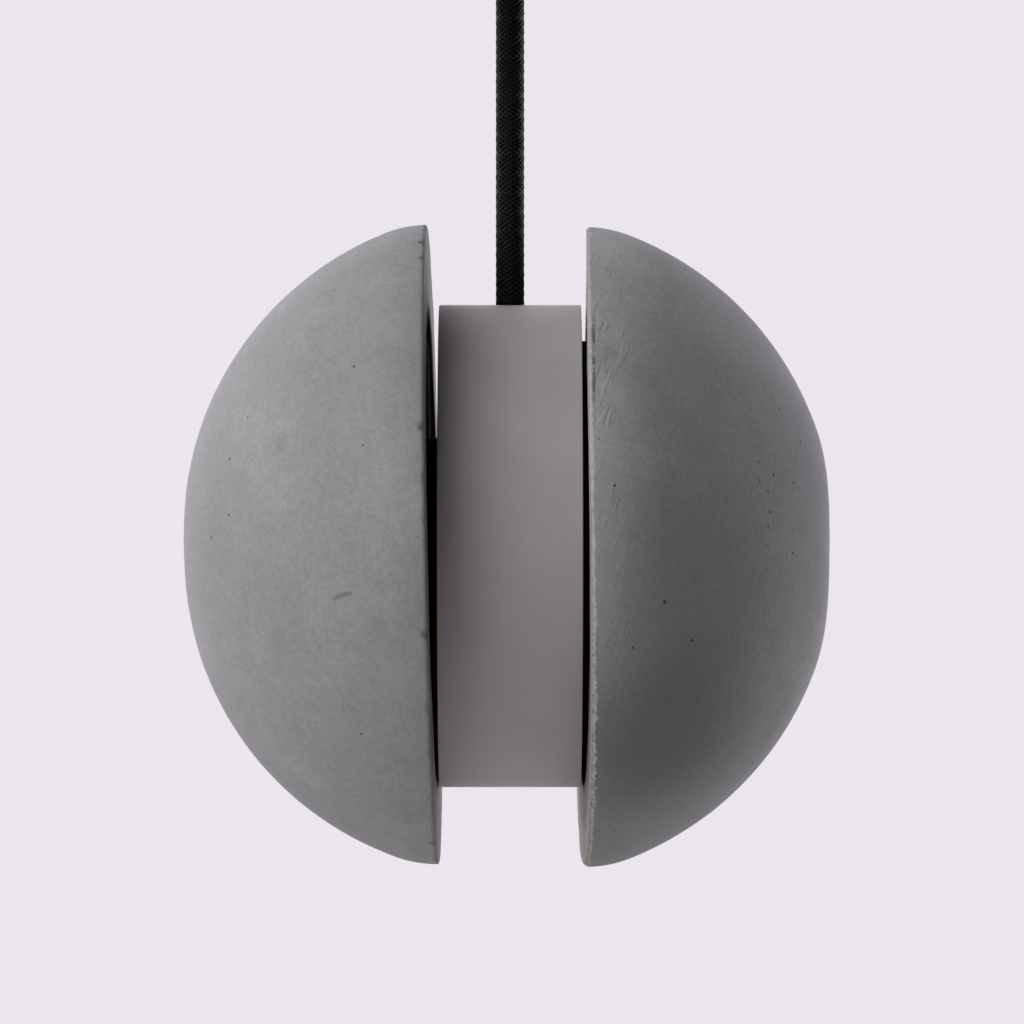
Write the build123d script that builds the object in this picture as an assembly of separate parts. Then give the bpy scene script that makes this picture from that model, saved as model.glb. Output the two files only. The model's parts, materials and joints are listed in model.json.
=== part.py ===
"""Pendant ceiling light: two hollow cast-concrete domes either side of a narrow metal drum,
hung from a ceiling canopy on a braided cord.

Millimetres. The origin is the middle of the bracket's face against the ceiling, +Z is up,
and +X is the drum's axis, towards the right dome.
"""
from build123d import *
import os
from math import cos, radians, sin

# ---- driving dimensions ------------------------------------------------------------------
CORD_R = 3.5                # braided textile cord
DRUM_DROP = 182.0           # ceiling down to the drum's axis

CUP_R = 50.0                # canopy cup
CUP_H = 26.0
CUP_WALL = 1.2
CEILING_GAP = 0.4           # between the cup's rim and the ceiling
BRACKET_T = 2.0
BRACKET_W = 24.0
TAB_X = 47.4                # outer face of the bracket's down-turned tabs
TAB_W = 12.0
TAB_H = 14.0
SLOT_SPACING = 60.0         # the two slots that screws to the ceiling go through
SLOT_LENGTH = 9.0
SLOT_R = 2.5
ENTRY_R = 7.0               # supply cable's hole through the bracket
EARTH_X = -15.0
EARTH_SCREW_R = 1.95
EARTH_TAG_T = 0.8

GRIP_NUT_R = 8.0            # nut below the cup that grips the cord
GRIP_NUT_H = 10.0
GRIP_THREAD_R = 5.0
PIVOT_ABOVE_MOUTH = 3.0     # the cord bends this far up inside the nut's flared mouth
CORD_TOP_GAP = 0.3          # between the gripped end and the free cord

DRUM_R = 62.3
DRUM_W = 36.5
DRUM_WALL = 1.5
DRUM_EDGE = 0.25            # chamfer along both edges of the shell
PLATE_T = 1.5               # end plates, set inside the shell
PLATE_FIT = 0.1

ROD_R = 5.0                 # threaded rod that carries both domes
NUT_R = 9.0                 # across corners / 2
NUT_T = 4.0

HOUSING_R = 53.0            # black lamp housing on each end of the drum
HOUSING_DEPTH = 8.5
HOUSING_WALL = 1.5
HUB_BORE_R = 17.0           # hole in the middle of the housing, round the dome's boss
NECK_R = 28.0               # holds a housing that stands off the end plate
BOARD_R = 47.0
BOARD_T = 1.6
DIFFUSER_T = 2.0
LED_COUNT = 12
LED_RING_R = 34.0
HOUSING_SCREW_RING_R = 24.0

DOME_R = 82.6
OPENING_R = 61.0            # the dome's open mouth, with a shallow step inside it
STEP_DEPTH = 3.0
BOWL_R = 56.5
BOSS_R = 14.0
BOSS_START = 11.0           # rim plane to the boss's face
BUSH_R = 8.0                # cast-in metal bush
BUSH_BORE_R = 5.6           # loose on the rod, so that each dome droops a little
BUSH_LENGTH = 26.0
BUSH_FLANGE_R = 11.0
CAST_FIT = 0.05             # concrete to bush
SPACER_R = 12.0             # rubber spacer between the outer lock nut and the boss
SPACER_PLAY = 0.5

SHOULDER = (31.0, 21.0)     # outline arcs from the rim: radius, turn in degrees
FLANK_R = 83.0
# for each side: direction, gap to the drum, how far the dome has sunk on the rod, droop and yaw in
# degrees, the nose arc's start and radius, and how far the lamp housing stands off the drum
SIDES = {
    "left": dict(way=-1, gap=1.6, drop=0.0, droop=1.1, yaw=0.6, nose=(67.0, 80.0), stand_off=3.0),
    "right": dict(way=1, gap=1.25, drop=0.35, droop=0.2, yaw=0.15, nose=(69.0, 53.0), stand_off=0.0),
}

# ---- places worked out from them ---------------------------------------------------------
CUP_BOTTOM = -CUP_H
GRIP_MOUTH = CUP_BOTTOM - GRIP_NUT_H
PIVOT_Z = GRIP_MOUTH + PIVOT_ABOVE_MOUTH
DRUM_Z = -DRUM_DROP
DRUM_TOP = DRUM_Z + DRUM_R
HALF_W = DRUM_W / 2
AXIS = Pos(0, 0, DRUM_Z)    # the drum's axis, for everything the rod carries
ROD_HALF = HALF_W + 34.0


def upright(radius, top, bottom, x=0.0, y=0.0):
    """A solid cylinder about a vertical line."""
    return Pos(x, y, (top + bottom) / 2) * Cylinder(radius, top - bottom)


def along_x(radius, start, end, y=0.0, z=0.0):
    """A solid cylinder about a line parallel to the drum's axis."""
    return Pos((start + end) / 2, y, z) * Rot(0, 90, 0) * Cylinder(radius, abs(end - start))


def ring_x(outer, inner, start, end):
    return along_x(outer, start, end) - along_x(inner, min(start, end) - 1, max(start, end) + 1)


def block(x, y, z):
    """A box from three (low, high) pairs."""
    size = [high - low for low, high in (x, y, z)]
    middle = [(high + low) / 2 for low, high in (x, y, z)]
    return Pos(*middle) * Box(*size)


def on_ring(shape, radius, count, start=0.0):
    """Copies of a shape modelled on the X axis, spread round it at a radius."""
    turns = [radians(start + 360 * i / count) for i in range(count)]
    return [Pos(0, radius * cos(a), radius * sin(a)) * shape for a in turns]


def hex_nut_x(start, end):
    blank = Pos(min(start, end), 0, 0) * Rot(0, 90, 0) * extrude(RegularPolygon(NUT_R, 6), abs(end - start))
    return blank - along_x(ROD_R, start - 10, end + 10)


def wire(points, radius, bend):
    """A thin lead: straight runs joined by arcs."""
    path = FilletPolyline(*points, radius=bend)
    return sweep(Plane(path @ 0, z_dir=path % 0) * Circle(radius), path=path)


# ---- canopy ------------------------------------------------------------------------------
def ceiling_bracket():
    strip = block((-TAB_X, TAB_X), (-BRACKET_W / 2, BRACKET_W / 2), (-BRACKET_T, 0))
    strip = strip & upright(TAB_X + 0.4, 1, -BRACKET_T - 1)
    for side in (-1, 1):
        tab_x = sorted((side * TAB_X, side * (TAB_X - BRACKET_T)))
        strip += block(tab_x, (-TAB_W / 2, TAB_W / 2), (-TAB_H, 0))
        strip -= along_x(2.0, side * (TAB_X - 6), side * (TAB_X + 4), z=-TAB_H / 2 - 1)
        slot = extrude(SlotOverall(SLOT_LENGTH, 2 * SLOT_R), BRACKET_T + 2)
        strip -= Pos(side * SLOT_SPACING / 2, 0, -BRACKET_T - 1) * slot
    return strip - upright(ENTRY_R, 1, -BRACKET_T - 1) - upright(EARTH_SCREW_R + 0.05, 1, -4, x=EARTH_X)


def canopy_cup():
    outside = upright(CUP_R, -CEILING_GAP, CUP_BOTTOM)
    outside = fillet(outside.edges().group_by(Axis.Z)[0], 3.0)
    inside = upright(CUP_R - CUP_WALL, 1, CUP_BOTTOM + CUP_WALL)
    inside = fillet(inside.edges().group_by(Axis.Z)[0], 2.0)
    cup = outside - inside - upright(GRIP_THREAD_R + 0.2, 0, CUP_BOTTOM - 1)
    for side in (-1, 1):
        cup -= along_x(2.3, side * (CUP_R - 4), side * (CUP_R + 2), z=-TAB_H / 2 - 1)
    return cup


def canopy_screws():
    screws = []
    for side in (-1, 1):
        z = -TAB_H / 2 - 1
        shank = along_x(1.95, side * (TAB_X - 2.8), side * (CUP_R + 0.1), z=z)
        head = along_x(3.6, side * (CUP_R + 0.1), side * (CUP_R + 2.3), z=z)
        slot = block((side * CUP_R + side * 2.4 - 0.8, side * CUP_R + side * 2.4 + 0.8), (-5, 5), (z - 0.5, z + 0.5))
        screws.append(shank + head - slot)
    return screws


def cord_grip():
    """Threaded tube through the cup's floor, with a flange inside the cup."""
    tube = upright(GRIP_THREAD_R, CUP_BOTTOM + 11, CUP_BOTTOM - 5)
    flange = upright(8.5, CUP_BOTTOM + CUP_WALL + 2.0, CUP_BOTTOM + CUP_WALL)
    return tube + flange - upright(CORD_R + 0.1, 0, GRIP_MOUTH)


def cord_grip_nut():
    """Nut under the cup: grips the cord, then flares so that it can swing."""
    body = upright(GRIP_NUT_R, CUP_BOTTOM, GRIP_MOUTH)
    body = chamfer(body.edges().group_by(Axis.Z)[0], 1.0)
    thread = upright(GRIP_THREAD_R + 0.05, CUP_BOTTOM + 1, CUP_BOTTOM - 5)
    throat = upright(CORD_R + 0.3, 0, GRIP_MOUTH - 1)
    mouth = Pos(0, 0, GRIP_MOUTH + 2.0) * Cone(5.6, CORD_R + 0.3, 4.0)
    return body - thread - throat - mouth


def canopy_terminal():
    block_shape = block((19, 37), (-15, 15), (-13, -2.0))
    for y in (-10, 0, 10):
        block_shape -= along_x(2.4, 18, 38, y=y, z=-9)
        block_shape -= upright(1.9, 0, -8, x=23, y=y)
        block_shape -= upright(1.9, 0, -8, x=33, y=y)
    return block_shape


def canopy_terminal_screws():
    return [upright(1.7, -3.0, -6.4, x=x, y=y) for x in (23, 33) for y in (-10, 0, 10)]


def earth_screw():
    thread = upright(EARTH_SCREW_R, -0.3, -BRACKET_T - EARTH_TAG_T, x=EARTH_X)
    head_top = -BRACKET_T - EARTH_TAG_T
    head = upright(3.6, head_top, head_top - 2.4, x=EARTH_X)
    driver_slot = block((EARTH_X - 5, EARTH_X + 5), (-0.5, 0.5), (head_top - 3, head_top - 1.5))
    return thread + head - driver_slot


def earth_tag():
    """Ring tag of the earth lead, under the earth screw's head."""
    low = -BRACKET_T - EARTH_TAG_T
    ring = upright(3.8, -BRACKET_T, low, x=EARTH_X) - upright(EARTH_SCREW_R + 0.1, 0, -5, x=EARTH_X)
    return ring + block((EARTH_X, EARTH_X + 6), (2.2, 4.0), (low, -BRACKET_T))


def canopy_leads():
    """Three leads from the cord's top end into the terminal block."""
    top = CUP_BOTTOM + 12.2
    straight = wire([(0, 0, top), (0, 0, -9), (22, 0, -9)], 0.85, 2.2)
    spread = [wire([(0, y / 5, top), (0, y / 5, -9), (13, y, -9), (22, y, -9)], 0.85, 2.2) for y in (-10, 10)]
    return [straight, *spread]


def cord_top_end():
    return upright(CORD_R, CUP_BOTTOM + 12, PIVOT_Z + CORD_R + CORD_TOP_GAP)


def pendant_cord():
    """The free cord, rounded at the top where it bends inside the grip nut."""
    return upright(CORD_R, PIVOT_Z, DRUM_TOP + 0.3) + Pos(0, 0, PIVOT_Z) * Sphere(CORD_R)


# ---- drum --------------------------------------------------------------------------------
def drum_shell():
    shell = along_x(DRUM_R, -HALF_W, HALF_W)
    shell = chamfer(shell.edges().filter_by(GeomType.CIRCLE), DRUM_EDGE)
    shell -= along_x(DRUM_R - DRUM_WALL, -HALF_W - 1, HALF_W + 1)
    return AXIS * shell - upright(GRIP_THREAD_R + 0.2, DRUM_TOP + 2, DRUM_TOP - 5)


def end_plate(way):
    plate = along_x(DRUM_R - DRUM_WALL - PLATE_FIT, way * (HALF_W - PLATE_T), way * HALF_W)
    plate -= along_x(ROD_R + 0.15, -HALF_W - 1, HALF_W + 1)
    for hole in on_ring(along_x(1.3, way * (HALF_W - 5), way * (HALF_W + 5)), HOUSING_SCREW_RING_R, 3, 90):
        plate -= hole
    return AXIS * (plate - along_x(4.0, -HALF_W - 1, HALF_W + 1, y=-40))


def tie_rod():
    rod = along_x(ROD_R, -ROD_HALF, ROD_HALF)
    return AXIS * chamfer(rod.edges().filter_by(GeomType.CIRCLE), 0.8)


def lock_nuts(way):
    inner = hex_nut_x(*sorted((way * (HALF_W - PLATE_T), way * (HALF_W - PLATE_T - NUT_T))))
    outer = hex_nut_x(*sorted((way * HALF_W, way * (HALF_W + NUT_T))))
    return [AXIS * inner, AXIS * outer]


def hanger():
    """Steel strap from the cord's gland down to the rod, which carries the weight."""
    top = DRUM_R - DRUM_WALL - 2.4
    shelf = block((-11, 11), (-11, 11), (top - 3, top))
    web = block((8, 11), (-11, 11), (-9, top))
    strap = shelf + web - along_x(ROD_R + 0.15, 5, 14)
    return AXIS * strap - upright(GRIP_THREAD_R + 0.1, DRUM_TOP, DRUM_TOP - 12)


def drum_gland():
    """Threaded tube that the cord goes through, flush with the drum's top."""
    tube = upright(GRIP_THREAD_R, DRUM_TOP - 0.4, DRUM_TOP - 17) - upright(CORD_R + 0.1, 0, DRUM_TOP - 20)
    return tube


def drum_gland_nuts():
    """One nut above the strap's shelf and one below."""
    shelf_top = DRUM_TOP - DRUM_WALL - 2.4
    nuts = []
    for low in (shelf_top, shelf_top - 3 - 3.0):
        height = 1.7 if low == shelf_top else 3.0
        blank = Pos(0, 0, low) * extrude(RegularPolygon(8.0, 6), height)
        nuts.append(blank - upright(GRIP_THREAD_R + 0.02, low + 10, low - 10))
    return nuts


def cord_bottom_end():
    return upright(CORD_R, DRUM_TOP + 0.2, DRUM_TOP - 30)


def cord_clamp():
    """Two-piece clamp on the cord, below the gland."""
    z = DRUM_TOP - 24
    body = block((-6.5, 6.5), (-9, 9), (z - 3.5, z + 3.5))
    body -= upright(CORD_R, z + 9, z - 9)
    body -= block((-0.4, 0.4), (-20, 20), (z - 9, z + 9))
    for y in (-6.2, 6.2):
        body -= along_x(1.3, -9, 9, y=y, z=z)
    return body.solids()


def clamp_screws():
    z = DRUM_TOP - 24
    return [along_x(1.25, -7.8, 6.3, y=y, z=z) + along_x(2.4, -9.2, -7.4, y=y, z=z) + along_x(2.4, -7.4, -6.5, y=y, z=z)
            for y in (-6.2, 6.2)]


def led_driver():
    """Constant-current supply, with end lugs and a lid line."""
    box = block((-12, 11), (-32, 32), (-47, -25))
    box = fillet(box.edges().filter_by(Axis.X), 2.0)
    lugs = block((9, 11), (-38, 38), (-41, -31))
    box += lugs
    for y in (-35.2, 35.2):
        box -= along_x(1.6, 0, 20, y=y, z=-36)
    return AXIS * box


def driver_screws():
    """Into stand-offs on the right end plate."""
    inner_face = HALF_W - PLATE_T
    screws = []
    for y in (-35.2, 35.2):
        standoff = along_x(3.0, 11, inner_face, y=y, z=-36) - along_x(1.5, 10, 14, y=y, z=-36)
        screw = along_x(1.4, 7, 13.8, y=y, z=-36) + along_x(2.8, 7.0, 8.9, y=y, z=-36)
        screws += [AXIS * standoff, AXIS * screw]
    return screws


def drum_terminal():
    shape = block((-14, -2), (14, 34), (8, 18))
    for y in (19, 29):
        shape -= block((-16, 0), (y - 2.0, y + 2.0), (10.5, 14.5))
        shape -= Pos(-8, y, 17) * Cylinder(1.7, 6)
    return AXIS * shape


def drum_leads():
    """Leads from the cord's end to the terminal block, and from there to the driver."""
    end = DRUM_R - 30.2
    from_cord = [wire([(-1.6, y, end), (-1.6, y, end - 5), (-8, y_in, 26), (-8, y_in, 20.2)], 0.85, 1.6)
                 for y, y_in in ((-1.0, 19.0), (1.6, 29.0))]
    to_driver = [wire([(-8, y, 7.8), (-8, y, -2), (-4, y - 4, -12), (-4, y - 4, -24.8)], 0.85, 2.5)
                 for y in (20.0, 28.0)]
    return [AXIS * lead for lead in from_cord + to_driver]


# ---- light sources -----------------------------------------------------------------------
def housing_floor(side):
    """Distance of the dish's floor, where the board lies, from the drum's middle."""
    return HALF_W + side["stand_off"] + HOUSING_WALL + 0.5


def led_housing(side):
    """Shallow black dish that faces into the dome, on a neck where it stands off the plate."""
    way, base = side["way"], HALF_W + side["stand_off"]
    dish = ring_x(HOUSING_R, HUB_BORE_R, way * base, way * (base + HOUSING_DEPTH))
    dish -= ring_x(HOUSING_R - HOUSING_WALL, HUB_BORE_R + HOUSING_WALL, way * housing_floor(side),
                   way * (base + HOUSING_DEPTH + 1))
    if side["stand_off"]:
        dish += ring_x(NECK_R, HUB_BORE_R, way * HALF_W, way * base)
    for hole in on_ring(along_x(1.7, way * HALF_W, way * (base + 5)), HOUSING_SCREW_RING_R, 3, 90):
        dish -= hole
    return AXIS * dish


def led_board(side):
    way, floor = side["way"], housing_floor(side)
    board = ring_x(BOARD_R, HOUSING_SCREW_RING_R + 4.0, way * floor, way * (floor + BOARD_T))
    return AXIS * board


def led_chips(side):
    way, face = side["way"], housing_floor(side) + BOARD_T
    chip = block(sorted((way * face, way * (face + 0.9))), (-1.75, 1.75), (-1.4, 1.4))
    return [AXIS * one for one in on_ring(chip, LED_RING_R, LED_COUNT)]


def diffuser(side):
    way, far = side["way"], HALF_W + side["stand_off"] + HOUSING_DEPTH
    disc = ring_x(HOUSING_R - HOUSING_WALL - 0.1, HUB_BORE_R + HOUSING_WALL + 0.1, way * (far - DIFFUSER_T), way * far)
    return AXIS * disc


def housing_screws(side):
    """Through the dish's floor, and its neck, into the end plate."""
    way, face = side["way"], housing_floor(side)
    screw = along_x(1.25, way * (HALF_W - 2.0), way * face) + along_x(2.6, way * face, way * (face + 1.8))
    return [AXIS * one for one in on_ring(screw, HOUSING_SCREW_RING_R, 3, 90)]


def rubber_spacer(side):
    """Soft spacer between the outer lock nut and the dome's boss."""
    way = side["way"]
    start, end = HALF_W + NUT_T + 0.1, HALF_W + side["gap"] + BOSS_START - SPACER_PLAY
    return AXIS * ring_x(SPACER_R, ROD_R + 0.2, way * start, way * end)


# ---- domes -------------------------------------------------------------------------------
def dome_outline(nose):
    """Half outline: radius along X, distance from the rim plane along Y."""
    shoulder_r, shoulder_turn = SHOULDER
    nose_start, nose_r = nose
    shoulder = JernArc((DOME_R, 0), (0, 1), shoulder_r, shoulder_turn)
    flank = JernArc(shoulder @ 1, shoulder % 1, FLANK_R, nose_start - shoulder_turn)
    nose_arc = JernArc(flank @ 1, flank % 1, nose_r, 90 - nose_start)
    pole = nose_arc @ 1
    boss_face, bush_end = BOSS_START, BOSS_START + BUSH_LENGTH + 1.5
    step = Polyline((OPENING_R, 0), (OPENING_R, STEP_DEPTH), (BOWL_R, STEP_DEPTH))
    bowl = ThreePointArc((BOWL_R, STEP_DEPTH), (47.5, 32.0), (BOSS_R + 3.0, 46.5))
    boss = Polyline((BOSS_R + 3.0, 46.5), (BOSS_R, 43.5), (BOSS_R, boss_face), (BUSH_R + CAST_FIT, boss_face),
                    (BUSH_R + CAST_FIT, bush_end), (0, bush_end))
    close = Line((0, bush_end), (0, pole.Y))
    rim, crown = Line((OPENING_R, 0), (DOME_R, 0)), Line(pole, (0, pole.Y))
    parts = [rim, shoulder, flank, nose_arc, crown, close, boss, bowl, step]
    return make_face(Curve(children=parts).edges())


def dome_place(side):
    """From the revolved shape's frame, rim plane at z = 0, to the rod: drooped and turned
    about the middle of the bush."""
    way, to_bush = side["way"], BOSS_START + BUSH_LENGTH / 2
    lean = Rot(0, side["droop"] * way, side["yaw"] * way)
    on_rod = Pos(way * (HALF_W + side["gap"] + to_bush), 0, -side["drop"])
    return AXIS * on_rod * lean * Rot(0, 90 * way, 0) * Pos(0, 0, -to_bush)


def concrete_dome(side):
    half = Plane.XZ * dome_outline(side["nose"])
    body = revolve(half, axis=Axis.Z)
    low, high = BOSS_START + BUSH_LENGTH - 4.1, BOSS_START + BUSH_LENGTH + 0.1
    body -= Pos(0, 0, (low + high) / 2) * Cylinder(BUSH_FLANGE_R + CAST_FIT, high - low)
    return dome_place(side) * body


def dome_bush(side):
    """Metal bush cast into the boss, with a flange at its buried end that locks it there."""
    sleeve = upright(BUSH_R, BOSS_START + BUSH_LENGTH, BOSS_START)
    flange = upright(BUSH_FLANGE_R, BOSS_START + BUSH_LENGTH, BOSS_START + BUSH_LENGTH - 4)
    bush = sleeve + flange - upright(BUSH_BORE_R, BOSS_START + BUSH_LENGTH + 1, BOSS_START - 1)
    return dome_place(side) * bush


# ---- every node --------------------------------------------------------------------------
def nodes():
    made = {
        "ceiling_bracket": ceiling_bracket(),
        "canopy_cup": canopy_cup(),
        "canopy_screws": canopy_screws(),
        "cord_grip": cord_grip(),
        "cord_grip_nut": cord_grip_nut(),
        "canopy_terminal": canopy_terminal(),
        "canopy_terminal_screws": canopy_terminal_screws(),
        "earth_screw": earth_screw(),
        "earth_tag": earth_tag(),
        "canopy_leads": canopy_leads(),
        "cord_top_end": cord_top_end(),
        "pendant_cord": pendant_cord(),
        "drum_shell": drum_shell(),
        "tie_rod": tie_rod(),
        "hanger": hanger(),
        "drum_gland": drum_gland(),
        "drum_gland_nuts": drum_gland_nuts(),
        "cord_bottom_end": cord_bottom_end(),
        "cord_clamp": cord_clamp(),
        "clamp_screws": clamp_screws(),
        "led_driver": led_driver(),
        "driver_screws": driver_screws(),
        "drum_terminal": drum_terminal(),
        "drum_leads": drum_leads(),
    }
    for name, side in SIDES.items():
        way = side["way"]
        made[f"{name}_end_plate"] = end_plate(way)
        made[f"{name}_lock_nuts"] = lock_nuts(way)
        made[f"{name}_led_housing"] = led_housing(side)
        made[f"{name}_led_board"] = led_board(side)
        made[f"{name}_led_chips"] = led_chips(side)
        made[f"{name}_diffuser"] = diffuser(side)
        made[f"{name}_housing_screws"] = housing_screws(side)
        made[f"{name}_rubber_spacer"] = rubber_spacer(side)
        made[f"{name}_dome"] = concrete_dome(side)
        made[f"{name}_dome_bush"] = dome_bush(side)
    return made


if __name__ == "__main__":
    os.makedirs("parts", exist_ok=True)
    for node, shape in nodes().items():
        if isinstance(shape, (list, ShapeList)):
            shape = Compound(children=list(shape))
        export_step(shape, f"parts/{node}.step")
    print("free cord", round(PIVOT_Z - DRUM_TOP, 1), "mm; grip mouth", GRIP_MOUTH, "; pivot", PIVOT_Z)
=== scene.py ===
# %% [markdown]
# # A concrete and metal pendant lamp
# Two hollow domes of cast concrete face each other across a narrow metal drum that stands on
# edge, and a black braided cord holds it all up. The CAD model arrives as a fixed frame. It
# gives every place and every size, and this script gives each piece its finished surface.

# %% Load the frame
import json
from math import cos, pi, radians, sin

import bmesh
import bpy
import numpy as np
from mathutils import Matrix, Vector, noise

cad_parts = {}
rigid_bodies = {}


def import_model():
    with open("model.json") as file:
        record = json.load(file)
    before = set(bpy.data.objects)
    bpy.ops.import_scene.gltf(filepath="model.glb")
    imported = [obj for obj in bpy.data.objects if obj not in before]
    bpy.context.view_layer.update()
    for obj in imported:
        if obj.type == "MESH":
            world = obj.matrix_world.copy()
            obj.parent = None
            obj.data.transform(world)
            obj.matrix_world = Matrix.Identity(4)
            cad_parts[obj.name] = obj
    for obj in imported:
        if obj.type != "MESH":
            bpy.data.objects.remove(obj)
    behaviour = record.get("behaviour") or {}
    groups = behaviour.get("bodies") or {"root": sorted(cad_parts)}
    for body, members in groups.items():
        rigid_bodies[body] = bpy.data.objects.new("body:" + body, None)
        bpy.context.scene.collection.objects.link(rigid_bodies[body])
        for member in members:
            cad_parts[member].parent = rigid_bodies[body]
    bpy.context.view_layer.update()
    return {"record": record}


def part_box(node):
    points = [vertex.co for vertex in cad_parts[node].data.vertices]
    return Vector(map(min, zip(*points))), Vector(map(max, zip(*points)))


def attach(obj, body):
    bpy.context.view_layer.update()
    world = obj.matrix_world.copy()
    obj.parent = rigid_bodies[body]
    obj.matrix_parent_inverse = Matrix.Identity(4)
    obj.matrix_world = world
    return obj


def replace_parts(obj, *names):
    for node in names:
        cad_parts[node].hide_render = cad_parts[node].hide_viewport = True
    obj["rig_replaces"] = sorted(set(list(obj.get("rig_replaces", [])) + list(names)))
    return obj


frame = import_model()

MM = 0.001

# %% [markdown]
# ## Sizes to build from
# The design's few driving numbers are repeated here in millimetres, and everything else comes
# from the frame's boxes. The cord's line and the drum's axis both pass through x = 0, y = 0,
# so the drum's middle is the middle of its own box.

# %% Driving sizes


def box_of(node):
    return [Vector(corner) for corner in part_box(node)]


CORD_D = 7.0 * MM
DRUM_LOW, DRUM_HIGH = box_of("drum_shell")
DRUM_AXIS_Z = (DRUM_LOW.z + DRUM_HIGH.z) / 2
DRUM_R = (DRUM_HIGH.z - DRUM_LOW.z) / 2
HALF_W = DRUM_HIGH.x
GRIP_LOW, GRIP_HIGH = box_of("cord_grip_nut")
BEND_INSIDE_NUT = 3.0 * MM
print("drum radius", round(DRUM_R / MM, 2), "half width", round(HALF_W / MM, 2))

# %% [markdown]
# ## The camera
# The view is level and from a long way off, so the drum's edges hardly bow. A long lens does
# that: 1.68 m away, and a view 265 mm wide where the lamp hangs.

# %% Camera
CAMERA_AWAY = 1.68
VIEW_WIDTH = 264.8 * MM
CAMERA_UP = 8.8 * MM
CAMERA_RIGHT = 0.5 * MM
scene = bpy.context.scene


def put(name, data):
    """A new object with this data, in the scene."""
    made = bpy.data.objects.new(name, data)
    scene.collection.objects.link(made)
    return made


lens = bpy.data.cameras.new("camera")
lens.sensor_width = 36.0
lens.lens = lens.sensor_width * CAMERA_AWAY / VIEW_WIDTH
lens.clip_start, lens.clip_end = 0.1, 60.0
camera = put("camera", lens)
camera.location = (CAMERA_RIGHT, -CAMERA_AWAY, DRUM_AXIS_Z + CAMERA_UP)
camera.rotation_euler = (radians(90), 0, 0)
scene.camera = camera
scene.view_settings.view_transform = "Standard"
print("lens", round(lens.lens, 1), "mm")

# %% [markdown]
# ## A helper for materials
# Every finish is a small tree of nodes. One function adds a node, sets its properties and its
# inputs, and joins what is given as another node's output. Colours are written as the sRGB hex
# values that a colour picker shows, and one function turns them to the linear values that
# Blender computes with. Short functions stand for the sums that come up again and again.


# %% Material helpers
def linear(hex_colour):
    """#rrggbb as a linear RGBA colour."""
    parts = [int(hex_colour[i:i + 2], 16) / 255 for i in (1, 3, 5)]
    return [c / 12.92 if c <= 0.04045 else ((c + 0.055) / 1.055) ** 2.4 for c in parts] + [1.0]


def add(tree, kind, inputs=None, **settings):
    """Adds a node. Inputs are given by name or number, as a value or as another socket."""
    node = tree.nodes.new(kind)
    for name, value in settings.items():
        setattr(node, name, value)
    for key, value in (inputs or {}).items():
        if isinstance(value, bpy.types.NodeSocket):
            tree.links.new(value, node.inputs[key])
        else:
            node.inputs[key].default_value = value
    return node


def math_of(tree, operation, *values):
    return add(tree, "ShaderNodeMath", dict(enumerate(values)), operation=operation).outputs[0]


def scaled(tree, colour, factor):
    return add(tree, "ShaderNodeVectorMath", {0: colour, "Scale": factor}, operation="SCALE").outputs[0]


def new_material(name):
    """An empty material: its tree, its shader and the piece's own coordinates."""
    material = bpy.data.materials.new(name)
    material.use_nodes = True
    tree = material.node_tree
    tree.nodes.clear()
    shader = add(tree, "ShaderNodeBsdfPrincipled")
    output = add(tree, "ShaderNodeOutputMaterial")
    tree.links.new(shader.outputs[0], output.inputs["Surface"])
    place = add(tree, "ShaderNodeTexCoord").outputs["Object"]
    return material, tree, shader, place


def scale_for(size_mm):
    """Noise scale whose features are about this many millimetres across."""
    return 1.0 / (size_mm * MM)


# %% [markdown]
# ## Cast concrete
# Fine-grained concrete, cast in a smooth bowl: matte, a neutral grey with soft clouds 10 to
# 40 mm wide where the cement cured unevenly, a sandy grain under a millimetre, and pinholes
# where air was trapped against the mould. Noise at three sizes makes the clouds and the grain.
# A cell pattern makes the pinholes, and single holes are placed one by one where there are few.

# %% Small parts of a pattern


def times(tree, a, b):
    return math_of(tree, "MULTIPLY", a, b)


def either(tree, a, b):
    return math_of(tree, "MAXIMUM", a, b)


def stretch(tree, value, low, high, to_low=0.0, to_high=1.0, kind="LINEAR"):
    """Turns the range low to high into to_low to to_high."""
    ends = {"From Min": low, "From Max": high, "To Min": to_low, "To Max": to_high}
    return add(tree, "ShaderNodeMapRange", {"Value": value, **ends}, interpolation_type=kind).outputs[0]


def clouds_of(tree, place, size_mm, detail=3.0, roughness=0.55):
    settings = {"Scale": scale_for(size_mm), "Detail": detail, "Roughness": roughness}
    return add(tree, "ShaderNodeTexNoise", {"Vector": place, **settings}).outputs[0]


def parts_of(tree, vector):
    """The x, y and z of a vector."""
    return add(tree, "ShaderNodeSeparateXYZ", {0: vector}).outputs


def near(tree, place, centre, inner_mm, outer_mm):
    """1 within the inner distance of a point, falling to 0 at the outer."""
    gap = add(tree, "ShaderNodeVectorMath", {0: place, 1: centre}, operation="DISTANCE")
    return stretch(tree, gap.outputs["Value"], inner_mm * MM, outer_mm * MM, 1.0, 0.0, "SMOOTHSTEP")


def blend_to(tree, amount, colour, other):
    return add(tree, "ShaderNodeMix", {0: amount, 6: colour, 7: other}, data_type="RGBA").outputs[2]


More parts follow.
